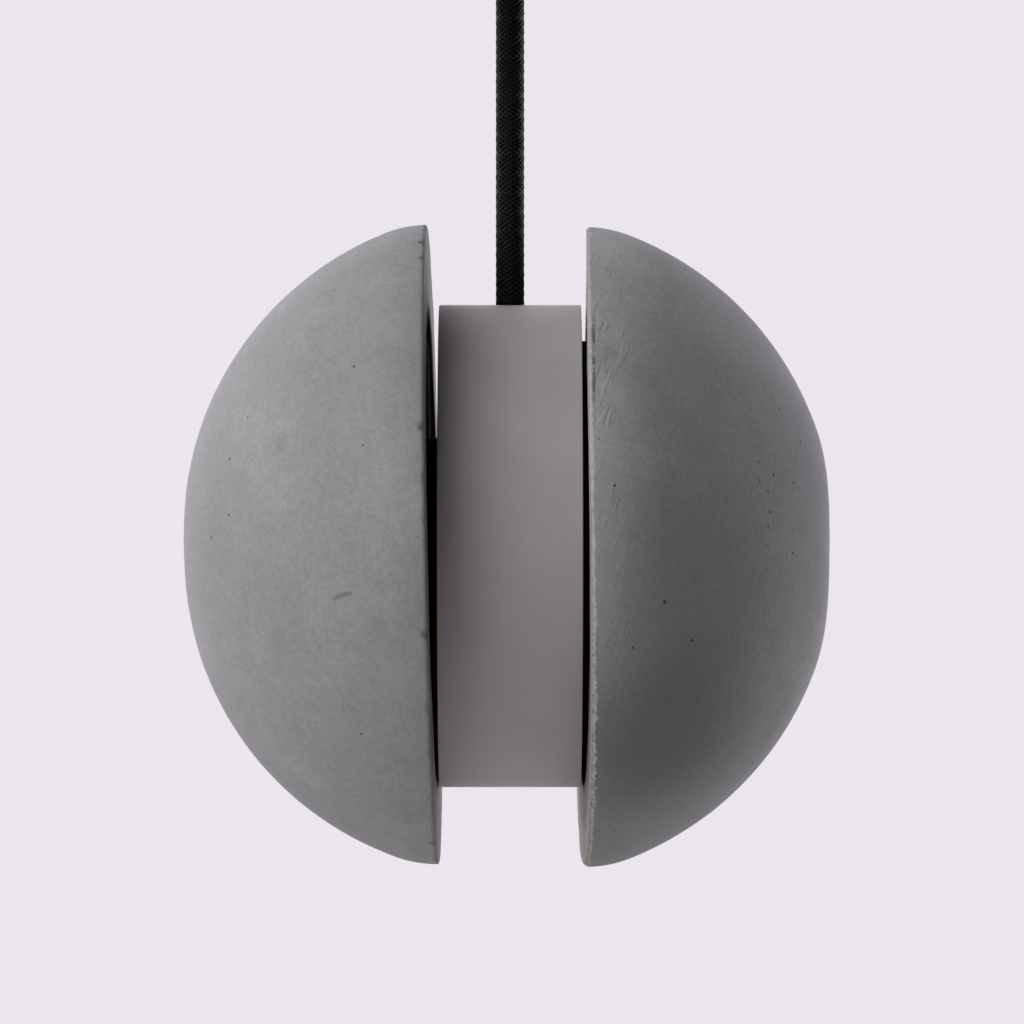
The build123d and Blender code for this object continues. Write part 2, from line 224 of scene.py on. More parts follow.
def pinholes(tree, place, spacing_mm, radius_mm, share, seed):
    """1 where a small round hole is, 0 elsewhere. share is how many cells have one."""
    moved = add(tree, "ShaderNodeMapping", {"Vector": place, "Location": (seed, seed * 0.37, seed * 0.71)})
    cells = add(tree, "ShaderNodeTexVoronoi", {"Vector": moved.outputs[0], "Scale": scale_for(spacing_mm)})
    pick = add(tree, "ShaderNodeSeparateColor", {0: cells.outputs["Color"]})
    chosen = math_of(tree, "LESS_THAN", pick.outputs[0], share)
    edge = radius_mm / spacing_mm
    return times(tree, stretch(tree, cells.outputs["Distance"], edge * 0.55, edge, 1.0, 0.0), chosen)


# %% Marks of the making, and a painted highlight


def trowel_marks(tree, place, band):
    """Short slanting drags of a trowel in a band beside the rim: x from and to, in metres."""
    turned_way = add(tree, "ShaderNodeMapping", {"Vector": place, "Rotation": (0, radians(-22), 0)}).outputs[0]
    slant = add(tree, "ShaderNodeMapping", {"Vector": turned_way, "Scale": (1.0, 0.12, 0.12)}).outputs[0]
    line = stretch(tree, clouds_of(tree, slant, 1.1, 1.5, 0.5), 0.55, 0.66)
    patch = stretch(tree, clouds_of(tree, place, 8.0, 1.0, 0.5), 0.46, 0.56)
    inside = stretch(tree, parts_of(tree, place)[0], *band, 1.0, 0.0, "SMOOTHSTEP")
    return times(tree, times(tree, line, patch), inside)


def painted_rim_highlight(tree, place, band):
    """How much lighter the concrete is painted in the band beside the rim: a painted highlight, most on the upper
    half.
    """
    x, _, z = parts_of(tree, place)
    beside_rim = stretch(tree, x, band[0] - 3 * MM, band[1] + 5 * MM, 0.36, 0.0, "SMOOTHSTEP")
    upper = stretch(tree, z, DRUM_AXIS_Z - 58 * MM, DRUM_AXIS_Z + 2 * MM, 0.0, 1.0, "SMOOTHSTEP")
    return math_of(tree, "ADD", times(tree, beside_rim, upper), 1.0)


def dirt_beside_rim(tree, place, dust, line):
    """A thin broken line of dirt: its x and its lower and upper end, in metres."""
    at_x, low, high = line
    x, _, z = parts_of(tree, place)
    off_line = math_of(tree, "ABSOLUTE", math_of(tree, "SUBTRACT", x, at_x))
    off_middle = math_of(tree, "ABSOLUTE", math_of(tree, "SUBTRACT", z, (low + high) / 2))
    half = (high - low) / 2
    on_line = times(tree, stretch(tree, off_line, 0.1 * MM, 0.6 * MM, 0.8, 0.0, "SMOOTHSTEP"),
                    stretch(tree, off_middle, half * 0.6, half, 1.0, 0.0, "SMOOTHSTEP"))
    return times(tree, on_line, stretch(tree, dust, 0.42, 0.56, 0.15, 1.0))


def crowded_holes(tree, place, middle, seed):
    """Many small pinholes round one point."""
    chance = add(tree, "ShaderNodeTexVoronoi", {"Vector": place, "Scale": scale_for(2.4)}).outputs["Color"]
    pick = add(tree, "ShaderNodeSeparateColor", {0: chance}).outputs[1]
    close = math_of(tree, "GREATER_THAN", times(tree, near(tree, place, middle, 2.0, 20.0), 0.8), pick)
    small = either(tree, pinholes(tree, place, 1.8, 0.26, 0.25, seed + 1.3),
                   pinholes(tree, place, 3.0, 0.36, 0.2, seed + 2.1))
    return times(tree, small, close)


# %% Concrete
RIM_SHADE_BROWN, DIRT_BROWN, HOLE_SHADE_BLACK = "#5c554e", "#524b47", "#232221"
# Marks this wide or wider are painted shade, and are laid on whole, without gaps.
BROAD_SHADE = 15.0


def cement_tone(tree, mixed, shades):
    """Dark, middle and light shades spread over the clouds."""
    tone = add(tree, "ShaderNodeValToRGB", {0: mixed})
    ramp = tone.color_ramp
    ramp.elements[0].position, ramp.elements[0].color = 0.34, linear(shades[0])
    ramp.elements[1].position, ramp.elements[1].color = 0.66, linear(shades[2])
    ramp.elements.new(0.5).color = linear(shades[1])
    return tone.outputs[0]


def cast_concrete(name, seed, shades, pits, stains_and_shade, rim_face_shade, worn_and_lit_hex, cluster=None, trowel=None, specks=0.12,
                  dirt_line=None):
    """shades are dark, middle and light. pits are (point, radius mm), stains_and_shade (point, radius mm, hex,
    share) for stains and for broad patches of painted shade, rim_face_shade how much painted brown shade
    darkens the rim's face, worn_and_lit_hex the colour of the worn corner, which is also painted light on the
    right dome's rim face and painted shade in the left dome's chips, cluster a point with many small holes round
    it, trowel the band that the trowel marked and where a painted highlight lightens the concrete, specks how
    many cells have a pinhole, and dirt_line the x and the height, low and high, of dirt beside the rim."""
    material, tree, shader, place = new_material(name)
    shift = (seed, 0.3 * seed, 0.7 * seed)
    moved = add(tree, "ShaderNodeMapping", {"Vector": place, "Location": shift}).outputs[0]
    clouds, blotches = clouds_of(tree, moved, 34), clouds_of(tree, moved, 11, 4.0, 0.6)
    sand, dust = clouds_of(tree, moved, 1.1, 2.0, 0.75), clouds_of(tree, moved, 2.6, 2.0, 0.6)
    mixed = math_of(tree, "MULTIPLY_ADD", clouds, 0.62, times(tree, blotches, 0.38))
    grain = math_of(tree, "ADD", stretch(tree, sand, 0.36, 0.64, -0.07, 0.07),
                    stretch(tree, dust, 0.36, 0.64, 0.965, 1.035))
    colour = scaled(tree, cement_tone(tree, mixed, shades), grain)
    # Stains, and broad patches of painted shade.
    for centre, radius, other, share in stains_and_shade:
        gaps = 0.25 if radius < BROAD_SHADE else 1.0
        torn = stretch(tree, dust, 0.4, 0.6, gaps, 1.0)
        stain_and_shade_mask = times(tree, near(tree, place, centre, radius * 0.2, radius), torn)
        colour = blend_to(tree, times(tree, stain_and_shade_mask, share), colour, linear(other))
    # Painted highlight: the band beside the rim is lightened, most on its upper half.
    if trowel:
        colour = scaled(tree, colour, painted_rim_highlight(tree, place, trowel))
    # The worn corner gets its own colour: light on the right dome, where it also paints light on the rim's face,
    # and dark on the left, where it is painted shade in the chips.
    worn_and_lit_share = add(tree, "ShaderNodeAttribute", attribute_name="worn_and_lit_rim").outputs["Fac"]
    worn_and_lit_mask = times(tree, stretch(tree, worn_and_lit_share, 0.25, 0.8), stretch(tree, sand, 0.35, 0.6, 0.1, 0.75))
    colour = blend_to(tree, worn_and_lit_mask, colour, linear(worn_and_lit_hex))
    if dirt_line:
        colour = blend_to(tree, dirt_beside_rim(tree, place, dust, dirt_line), colour, linear(DIRT_BROWN))
    # Painted shade: the rim's face, which looks at the drum across a narrow gap, is darkened with brown, strongly
    # on the left dome.
    face = add(tree, "ShaderNodeAttribute", attribute_name="rim_face").outputs["Fac"]
    painted_rim_shade = times(tree, times(tree, face, rim_face_shade), stretch(tree, sand, 0.3, 0.7, 0.7, 1.0))
    colour = blend_to(tree, painted_rim_shade, colour, linear(RIM_SHADE_BROWN))
    holes = either(tree, pinholes(tree, place, 9.0, 0.34, specks, seed),
                   pinholes(tree, place, 4.3, 0.2, specks, seed + 3))
    for centre, radius in pits:
        holes = either(tree, holes, near(tree, place, centre, radius * 0.3, radius * 0.75))
    if cluster:
        holes = either(tree, holes, crowded_holes(tree, place, cluster, seed))
    # Painted shade: pinholes and pits are darkened almost to black, as well as sunk by the bump.
    colour = blend_to(tree, times(tree, holes, 0.85), colour, linear(HOLE_SHADE_BLACK))
    tree.links.new(colour, shader.inputs["Base Color"])
    tree.links.new(stretch(tree, blotches, 0.3, 0.7, 0.8, 0.92), shader.inputs["Roughness"])
    shader.inputs["Specular IOR Level"].default_value = 0.28
    height = math_of(tree, "MULTIPLY_ADD", sand, 0.16, times(tree, blotches, 0.3))
    if trowel:
        height = math_of(tree, "MULTIPLY_ADD", trowel_marks(tree, place, trowel), 0.26, height)
    sunk = math_of(tree, "MULTIPLY_ADD", holes, -0.9, height)
    bump = add(tree, "ShaderNodeBump", {"Height": sunk, "Distance": 0.5 * MM, "Strength": 0.9})
    tree.links.new(bump.outputs[0], shader.inputs["Normal"])
    return material


# %% [markdown]
# ## The domes
# Each dome is a turned shape: rim face, shoulder, flank, nose and a small flat pole outside, a
# bowl and a boss inside. It was cast by hand, so it isn't perfect: its skin wanders by a few
# hundredths of a millimetre and its rim is ragged, with chips where it left the mould. A mesh
# that is turned in code can have all of this as real relief, with rings closest at the rim.

# %% Dome sizes
RIM_R = 82.6
MOUTH_R = 61.0
SHOULDER_R, SHOULDER_TURN = 31.0, 21.0
FLANK_R = 83.0
BOSS_R, BOSS_START, BOSS_EDGE = 14.0, 11.0, 0.6
BUSH_R, BUSH_LENGTH, BUSH_FLOOR = 8.05, 26.0, 1.5
BOWL_END = (17.0, 46.5)
BOWL_MIDDLE = (47.5, 32.0)
BOWL_R, STEP_DEPTH = 56.5, 3.0
EDGE_ROUND = 0.3
MOUTH_CUT, STEP_CUT = 0.4, 0.3
FINE_TURN = 6.0
SKIN_WAVES = ((0.07, 26), (0.025, 7))
DOMES = {
    "left": dict(way=-1, gap=1.6, drop=0.0, droop=1.1, yaw=0.6, nose=(67.0, 80.0), seed=3,
                 bevel=0.1, wear=1.15, band=0.0, twist=0.0),
    "right": dict(way=1, gap=1.25, drop=0.35, droop=0.2, yaw=0.15, nose=(69.0, 53.0), seed=8,
                  bevel=0.12, wear=0.8, band=1.45, twist=1.0),
}
AROUND = 720


def arc(start, heading, radius, turn, step):
    """Points along an arc that turns left: start, heading and turn in degrees, radius in mm."""
    count = max(2, round(radius * radians(turn) / step))
    h0 = radians(heading)
    centre = start + radius * np.array([-sin(h0), cos(h0)])
    angles = h0 + radians(turn) * np.arange(1, count + 1) / count
    return [centre + radius * np.array([sin(a), -cos(a)]) for a in angles]


def straight(start, end, step):
    count = max(1, round(float(np.hypot(*(np.array(end) - start))) / step))
    return [start + (np.array(end) - start) * i / count for i in range(1, count + 1)]


def dome_profile(nose):
    """(radius, distance from the rim plane) from the bush's hole round the rim to the pole."""
    nose_start, nose_r = nose
    points = [np.array([0.0, BOSS_START + BUSH_LENGTH + BUSH_FLOOR])]
    points += straight(points[-1], (BUSH_R, points[-1][1]), 4.0)
    points += straight(points[-1], (BUSH_R, BOSS_START), 5.0)
    points += straight(points[-1], (BOSS_R - BOSS_EDGE, BOSS_START), 2.0)
    points += arc(points[-1], 0, BOSS_EDGE, 90, 0.4)
    points += straight(points[-1], (BOSS_R, BOWL_END[1] - 3.0), 5.0)
    points += straight(points[-1], BOWL_END, 1.5)
    points += bowl_arc()
    points += straight(points[-1], (MOUTH_R - STEP_CUT, STEP_DEPTH), 1.4)
    points += straight(points[-1], (MOUTH_R, STEP_DEPTH - STEP_CUT), 0.3)
    points += straight(points[-1], (MOUTH_R, MOUTH_CUT), 0.9)
    points += straight(points[-1], (MOUTH_R + MOUTH_CUT, 0.0), 0.3)
    points += straight(points[-1], (RIM_R - 3.0, 0.0), 3.0)
    points += straight(points[-1], (RIM_R - EDGE_ROUND, 0.0), 0.45)
    points += arc(points[-1], 0, EDGE_ROUND, 90, 0.2)
    points += arc(np.array([RIM_R, 0.0]), 90, SHOULDER_R, FINE_TURN, 0.22)[1:]
    points += arc(points[-1], 90 + FINE_TURN, SHOULDER_R, SHOULDER_TURN - FINE_TURN, 1.1)
    points += arc(points[-1], 90 + SHOULDER_TURN, FLANK_R, nose_start - SHOULDER_TURN, 1.8)
    points += arc(points[-1], 90 + nose_start, nose_r, 90 - nose_start, 1.8)
    pole = points[-1]
    points += straight(pole, (max(pole[0] * 0.1, 0.3), pole[1]), 2.0)
    return np.array(points + [np.array([0.0, pole[1]])])


def bowl_arc():
    """The bowl's arc through three points, from the boss out to the step inside the mouth."""
    a, b, c = np.array(BOWL_END), np.array(BOWL_MIDDLE), np.array([BOWL_R, STEP_DEPTH])
    d = 2 * (a[0] * (b[1] - c[1]) + b[0] * (c[1] - a[1]) + c[0] * (a[1] - b[1]))
    ux = ((a @ a) * (b[1] - c[1]) + (b @ b) * (c[1] - a[1]) + (c @ c) * (a[1] - b[1])) / d
    uy = ((a @ a) * (c[0] - b[0]) + (b @ b) * (a[0] - c[0]) + (c @ c) * (b[0] - a[0])) / d
    centre = np.array([ux, uy])
    radius = float(np.hypot(*(a - centre)))
    first, last = (np.arctan2(*(p - centre)[::-1]) for p in (a, c))
    return [centre + radius * np.array([np.cos(t), np.sin(t)]) for t in np.linspace(first, last, 28)[1:]]


print("profile points", len(dome_profile(DOMES["right"]["nose"])))


# %% [markdown]
# A turned mesh is a grid: one row of points for each ring of the profile, and a single point at
# each pole. Relief is added along the outline's own normal, and stays under a tenth of a
# millimetre on average, so that the dome keeps its size.
# The rim's wear is a second layer: near the outer corner, points sink back by a ragged amount
# that changes round the rim, with a few deeper chips.

# %% Turned meshes


def circle(count):
    return [(cos(2 * pi * k / count), sin(2 * pi * k / count)) for k in range(count)]


def tube(first, rows, around, closed=False):
    """Faces over rings of points that start at this number: with two end caps, or closed on itself."""
    start = [first + i % rows * around for i in range(rows + closed)]
    faces = [(low + k, low + (k + 1) % around, high + (k + 1) % around, high + k)
             for low, high in zip(start, start[1:]) for k in range(around)]
    if not closed:
        faces += [tuple(first + k for k in reversed(range(around))), tuple(start[-1] + k for k in range(around))]
    return faces


def outwards(mesh):
    """Turns a closed mesh's faces so that they point outwards."""
    work = bmesh.new()
    work.from_mesh(mesh)
    bmesh.ops.recalc_face_normals(work, faces=work.faces)
    work.to_mesh(mesh)
    work.free()


def baked(holder):
    """A plain mesh of what an object's curve or modifiers make."""
    return bpy.data.meshes.new_from_object(holder.evaluated_get(bpy.context.evaluated_depsgraph_get()))


def shade(mesh, sharp):
    """Smooth faces, with edges of more than this many degrees kept sharp."""
    mesh.shade_smooth()
    mesh.set_sharp_from_angle(angle=radians(sharp))


def mesh_piece(name, points, faces):
    """A smooth mesh object at the origin, in metres."""
    mesh = bpy.data.meshes.new(name)
    mesh.from_pydata([tuple(p) for p in points], [], faces)
    mesh.shade_smooth()
    return put(name, mesh)


def stand_in(piece, body, node):
    """Rides a piece on a body, in place of a CAD node."""
    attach(piece, body)
    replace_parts(piece, node)


def grid_faces(rows, around):
    """Faces of a closed turned grid whose first and last rows are single points."""
    faces = []
    last = 1 + (rows - 2) * around
    for j in range(around):
        k = (j + 1) % around
        faces.append((0, 1 + k, 1 + j))
        top = last - around
        faces.append((last, top + j, top + k))
        for i in range(rows - 3):
            low = 1 + i * around
            high = low + around
            faces.append((low + j, low + k, high + k, high + j))
    return faces


def waves(points, size_mm, seed, count=10):
    """Smooth random relief from -1 to 1, as a sum of plane waves with this typical length."""
    rng = np.random.default_rng(seed)
    total = np.zeros(len(points))
    for _ in range(count):
        way = rng.normal(size=3)
        way *= 2 * pi / (size_mm * rng.uniform(0.7, 1.6)) / np.linalg.norm(way)
        total += np.sin(points @ way + rng.uniform(0, 2 * pi))
    return total / count ** 0.5 / 1.6


def ragged_rim(side, around):
    """How far the rim's outer corner has been rubbed off or chipped at each angle, in mm."""
    depth = np.zeros(around)
    for j in range(around):
        a = 2 * pi * j / around
        spot = Vector((cos(a), sin(a), side["seed"]))
        fine = noise.fractal(spot * 46.0, 0.6, 2.1, 3)
        broad = noise.noise(spot * 3.0)
        chip = max(0.0, noise.noise(spot * 21.0 + Vector((7, 0, 0))) - 0.25) * 3.4
        low = 0.45 * side["twist"] * (0.5 + 0.5 * side["way"] * cos(a)) ** 2
        rubbed = side["bevel"] + low + side["wear"] * (0.22 * fine + 0.14 * broad)
        depth[j] = max(0.02, rubbed) + side["wear"] * chip * 0.6
    return np.clip(depth, 0.0, 1.3)


def flash_band(side, around):
    """Width in mm, at each angle, of the strip beside the rim where the mould's skin was rubbed away. It
    is rougher on the dome's lower half, which is where local X points on the right dome."""
    width = np.zeros(around)
    for j in range(around):
        a = 2 * pi * j / around
        spot = Vector((cos(a), sin(a), side["seed"] + 5.0))
        rough = 0.5 + 0.5 * side["way"] * cos(a)
        torn = noise.fractal(spot * 60.0, 0.7, 2.1, 3) * (0.25 + 0.65 * rough) + noise.noise(spot * 6.0) * 0.3
        width[j] = side["band"] * max(0.15, 1 + torn) * (0.5 + 0.5 * rough)
    return width


def out_of_true(side, r, turn):
    """How far in mm the rim lies from its plane: a hand-cast rim comes out of its mould a little twisted
    and sunk at its lowest point. Local X points down and local Y away from the camera."""
    away, up = r * np.sin(turn), -r * np.cos(turn)
    return side["twist"] * (-0.0045 * away + 0.00023 * away * up - 0.5 * ((1 - up / RIM_R) / 2) ** 2)


# %% Make the domes


def dome_matrix(side):
    """From the turned shape's frame, rim plane at z = 0, to the lamp: as the CAD places it."""
    way, to_bush = side["way"], BOSS_START + BUSH_LENGTH / 2
    out = way * (HALF_W + (side["gap"] + to_bush) * MM)
    on_rod = Matrix.Translation((out, 0, DRUM_AXIS_Z - side["drop"] * MM))
    lean, yaw, face = (Matrix.Rotation(radians(turn * way), 4, axis)
                       for turn, axis in ((side["droop"], "Y"), (side["yaw"], "Z"), (90, "Y")))
    return on_rod @ lean @ yaw @ face @ Matrix.Translation((0, 0, -to_bush * MM))


def store(piece, name, values):
    """Keeps one number for each point as an attribute. The two poles get 0."""
    attribute = piece.data.attributes.new(name, "FLOAT", "POINT")
    attribute.data.foreach_set("value", np.concatenate([[0.0], values, [0.0]]).astype("f"))


def make_dome(name, side):
    profile = dome_profile(side["nose"])
    along = np.gradient(profile, axis=0)
    along /= np.maximum(np.linalg.norm(along, axis=1), 1e-9)[:, None]
    outward = np.stack([along[:, 1], -along[:, 0]], axis=1)
    rows = len(profile)
    ring_r, ring_d = (np.repeat(profile[1:-1, k], AROUND) for k in (0, 1))
    radius, depth = ring_r, ring_d
    turn = np.tile(2 * pi * np.arange(AROUND) / AROUND, rows - 2)
    normal = np.repeat(outward[1:-1], AROUND, axis=0)
    base = np.stack([ring_r * np.cos(turn), ring_r * np.sin(turn), ring_d], axis=1)
    relief = sum(height * waves(base, size, side["seed"] + k) for k, (height, size) in enumerate(SKIN_WAVES))
    relief[radius < BOSS_R + 1] *= 0.2
    worn = np.tile(ragged_rim(side, AROUND), rows - 2)
    closeness = np.clip(1.0 - np.hypot(radius - RIM_R, depth) / (0.35 + 1.45 * worn), 0.0, 1.0) ** 0.8
    sink = worn * closeness
    near_rim = np.clip(1 - depth / 14, 0, 1) ** 1.5 * (radius > BOWL_R - 1)
    ring_d = ring_d + out_of_true(side, radius, turn) * near_rim
    width = np.tile(flash_band(side, AROUND), rows - 2)
    beside = np.clip(1 - depth / np.maximum(width, 0.01), 0, 1) * (radius > RIM_R - 1.0) * (depth > 0.01)
    ring_r = ring_r + normal[:, 0] * relief - sink * 0.75 - 0.3 * beside
    ring_d = ring_d + normal[:, 1] * relief + sink * 0.65
    points = np.stack([ring_r * np.cos(turn), ring_r * np.sin(turn), ring_d], axis=1)
    points = np.vstack([[0, 0, profile[0, 1]], points, [0, 0, profile[-1, 1]]]) * MM
    place = np.array(dome_matrix(side))
    points = points @ place[:3, :3].T + place[:3, 3]
    piece = mesh_piece(f"{name}_dome_shell", points, grid_faces(rows, AROUND))
    stand_in(piece, f"{name}_dome", f"{name}_dome")
    # Painted light: on the right dome's lower half, the rim's face near its outer edge is lightened where the key
    # light falls on it.
    lower_half = np.clip(0.5 + 0.9 * side["way"] * np.cos(turn), 0, 1)
    painted_light_on_rim_face = side["twist"] * lower_half * (depth <= 0.01) * np.clip((ring_r - 68.0) / 9.0, 0, 1)
    worn_and_lit_share = np.maximum(np.maximum(np.clip(sink * 3.5, 0, 1), np.clip(beside * 6.0, 0, 1)), painted_light_on_rim_face)
    store(piece, "worn_and_lit_rim", worn_and_lit_share)
    on_rim = np.clip((1.2 - depth) / 0.9, 0, 1) * (radius > MOUTH_R - 0.5)
    store(piece, "rim_face", on_rim * (1 - 0.6 * worn_and_lit_share))
    print(name, "dome", len(piece.data.polygons), "faces, worn up to", round(float(sink.max()), 2), "mm")
    return piece


domes = {name: make_dome(name, side) for name, side in DOMES.items()}
for name, piece in domes.items():
    low = np.min([v.co for v in piece.data.vertices], axis=0)
    high = np.max([v.co for v in piece.data.vertices], axis=0)
    cad_low, cad_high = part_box(f"{name}_dome")
    print(name, "dome box against CAD, mm", np.round((low - np.array(cad_low)) / MM, 2),
          np.round((high - np.array(cad_high)) / MM, 2))

# %% [markdown]
# ## The cord
# A round mains flex under a tight braid of black polyester: 24 bundles of thread, twelve each
# way, that pass over two and under two. The route is a smooth curve, and here it is pulled
# straight by the lamp. Each bundle is a thin band that winds round the route and dips where it
# goes under the others, so the outline is finely serrated as it is on real braid.

# %% Cord route
CORD_TOP = GRIP_LOW.z + BEND_INSIDE_NUT
CORD_FOOT = DRUM_HIGH.z + 0.3 * MM
CORD_POINTS = [(0, 0, CORD_TOP), (0, 0, CORD_TOP * 0.62 + CORD_FOOT * 0.38),
               (0, 0, CORD_TOP * 0.3 + CORD_FOOT * 0.7), (0, 0, CORD_FOOT)]


def route_points(points, resolution=24):
    """Points along a smooth curve with these control points."""
    curve = bpy.data.curves.new("route", "CURVE")
    curve.dimensions = "3D"
    spline = curve.splines.new("NURBS")
    spline.points.add(len(points) - 1)
    for control, point in zip(spline.points, points):
        control.co = (*point, 1)
    spline.order_u = 3
    spline.use_endpoint_u = True
    spline.resolution_u = resolution
    holder = put("route", curve)
    mesh = baked(holder)
    found = [v.co.copy() for v in mesh.vertices]
    bpy.data.objects.remove(holder)
    bpy.data.curves.remove(curve)
    bpy.data.meshes.remove(mesh)
    return found


route = route_points(CORD_POINTS)

# %% Braid
CARRIERS = 12
BRAID_LAY = 15.0 * MM
BAND_W = 0.86 * MM
BAND_T = 0.5 * MM
BRAID_R = CORD_D / 2 - 0.14 * MM
OVER_UNDER = 0.13 * MM


def along_route(path, step):
    """Evenly spaced (point, two cross directions, distance) along a path."""
    distances = np.concatenate([[0], np.cumsum([(b - a).length for a, b in zip(path, path[1:])])])
    count = int(distances[-1] / step) + 1
    out = []
    for s in np.linspace(0, distances[-1], count):
        i = min(int(np.searchsorted(distances, s, side="right")) - 1, len(path) - 2)
        t = (s - distances[i]) / max(distances[i + 1] - distances[i], 1e-9)
        ahead = (path[i + 1] - path[i]).normalized()
        side = ahead.cross(Vector((0, 1, 0))).normalized()
        out.append((path[i].lerp(path[i + 1], t), side, ahead.cross(side), s))
    return out


def braid_mesh(path):
    """Bands in both directions round the path, each over two and under two of the others."""
    stations = along_route(path, 0.36 * MM)
    section = circle(6)
    points, faces = [], []
    for way in (-1, 1):
        for carrier in range(CARRIERS):
            first = len(points)
            for centre, u, v, s in stations:
                angle = 2 * pi * (carrier / CARRIERS + way * s / BRAID_LAY)
                crossing = 2 * pi * (s / BRAID_LAY * CARRIERS * 0.5 + carrier * 0.25 * way)
                lift = OVER_UNDER * way * sin(crossing)
                out = u * cos(angle) + v * sin(angle)
                round_way = (v * cos(angle) - u * sin(angle)) * (2 * pi * BRAID_R / BRAID_LAY * way)
                ahead = u.cross(v)
                heading = (round_way + ahead).normalized()
                across = heading.cross(out).normalized()
                middle = centre + out * (BRAID_R + lift)
                for a, b in section:
                    points.append(middle + across * (a * BAND_W / 2) + out * (b * BAND_T / 2))
            faces += tube(first, len(stations), 6)
    return points, faces


def core_mesh(path, radius, first, around=32):
    """A plain round core whose points are numbered from this one."""
    stations = along_route(path, 4.0 * MM)
    points = [c + (u * x + v * y) * radius for c, u, v, _ in stations for x, y in circle(around)]
    return points, tube(first, len(stations), around)


points, faces = braid_mesh(route)
core_points, core_faces = core_mesh(route, BRAID_R - 0.05 * MM, len(points))
cord = mesh_piece("braided_cord", points + core_points, faces + core_faces)
outwards(cord.data)
stand_in(cord, "cord", "pendant_cord")
print("braid", len(cord.data.polygons), "faces")

# %% [markdown]
# ## Finishes
# The names say what each thing is made of and how it was finished.

# %% Plain finishes


def plain(name, colour, roughness, metallic=0.0, grain_mm=0.6, grain=0.05, bump=0.1, uneven=0.06, specular=0.5):
    """A finish of one colour with a fine grain and slow change of tone and gloss."""
    material, tree, shader, place = new_material(name)
    fine, slow = clouds_of(tree, place, grain_mm, 2.0, 0.5), clouds_of(tree, place, 18, 3.0, 0.5)
    mixed = math_of(tree, "MULTIPLY_ADD", fine, grain, times(tree, slow, uneven))
    spread = grain + uneven
    tone = stretch(tree, mixed, 0.0, spread, 1 - spread, 1 + spread)
    tree.links.new(scaled(tree, linear(colour)[:3], tone), shader.inputs["Base Color"])
    gloss = stretch(tree, slow, 0.3, 0.7, max(roughness - 0.05, 0.02), roughness + 0.05)
    tree.links.new(gloss, shader.inputs["Roughness"])
    shader.inputs["Metallic"].default_value = metallic
    if not metallic:
        shader.inputs["Specular IOR Level"].default_value = specular
    ripple = add(tree, "ShaderNodeBump", {"Height": fine, "Distance": 0.05 * MM, "Strength": bump})
    tree.links.new(ripple.outputs[0], shader.inputs["Normal"])
    return material


def on_front(piece, spots):
    """The points on a piece's near side at these (x, z) places in mm, z from the drum's axis."""
    bpy.context.view_layer.update()
    found = []
    for x, z in spots:
        start = Vector((x * MM, -0.3, DRUM_AXIS_Z + z * MM))
        hit, point, _, _ = piece.ray_cast(start, Vector((0, 1, 0)))
        found.append(tuple(point) if hit else tuple(start))
    return found


def dress(piece, material):
    piece.data.materials.clear()
    piece.data.materials.append(material)


# %% Concrete's own marks, and painted shade
# Pits are x, z and radius. Stains, and patches of painted shade, are x, z, radius, colour and how strong they are.
LEFT_PITS = [(-38.8, 45.0, 0.5), (-66.0, 32.6, 0.45), (-70.6, 22.2, 0.62), (-36.3, 25.3, 0.42), (-70.6, 8.0, 0.55),
             (-75.3, 2.3, 0.6), (-37.0, -46.5, 0.45)]
RIGHT_PITS = [(38.2, -13.4, 0.75), (45.2, -23.0, 0.65), (25.8, 15.3, 0.5), (68.0, 34.9, 0.7), (73.5, 26.6, 0.6),
              (66.0, 18.1, 0.65), (64.5, 14.1, 0.6), (65.0, 8.8, 0.65), (64.5, 5.3, 0.55), (62.4, 16.6, 0.5),
              (71.2, 16.1, 0.5), (71.0, -1.5, 0.5), (74.7, 25.6, 0.5)]
SCUFF = "#55555a"
LEFT_STAINS = [(-33.7, -19.1, 5.0, "#6f7072", 0.5), (-57.5, 25.9, 4.5, "#707072", 0.4),
               (-39.6, -11.3, 1.0, SCUFF, 0.6), (-40.6, -11.5, 1.1, SCUFF, 0.6), (-41.6, -11.8, 1.1, SCUFF, 0.6),
               (-42.6, -12.2, 1.1, SCUFF, 0.6), (-43.5, -12.7, 0.9, SCUFF, 0.5),
               (-58.0, -24.0, 6.0, "#77777a", 0.35)]
# On the right dome, the last two entries are painted shade: a broad darkening of the middle and a deeper one of the
# lower part.
RIGHT_STAINS_AND_SHADE = [(24.2, 48.5, 3.4, "#625d59", 0.6), (22.8, 46.5, 2.8, "#625d59", 0.5),
                (47.5, 27.0, 9.0, "#6c6c6e", 0.3), (46.0, -6.0, 36.0, "#656464", 0.4),
                (38.0, -46.0, 40.0, "#565555", 0.65)]
CROWD_OF_PITS = (66.4, 11.9)
# The band that the trowel marked, which also gets the painted highlight.
TROWEL_AND_HIGHLIGHT_BAND = (27 * MM, 36 * MM)
DIRT_LINE = (HALF_W + 2.55 * MM, DRUM_AXIS_Z + 34 * MM, DRUM_AXIS_Z + 60 * MM)


def marks(piece, rows):
    """Puts rows of x, z and more on the piece's near side."""
    return [(point, *row[2:]) for point, row in zip(on_front(piece, [row[:2] for row in rows]), rows)]


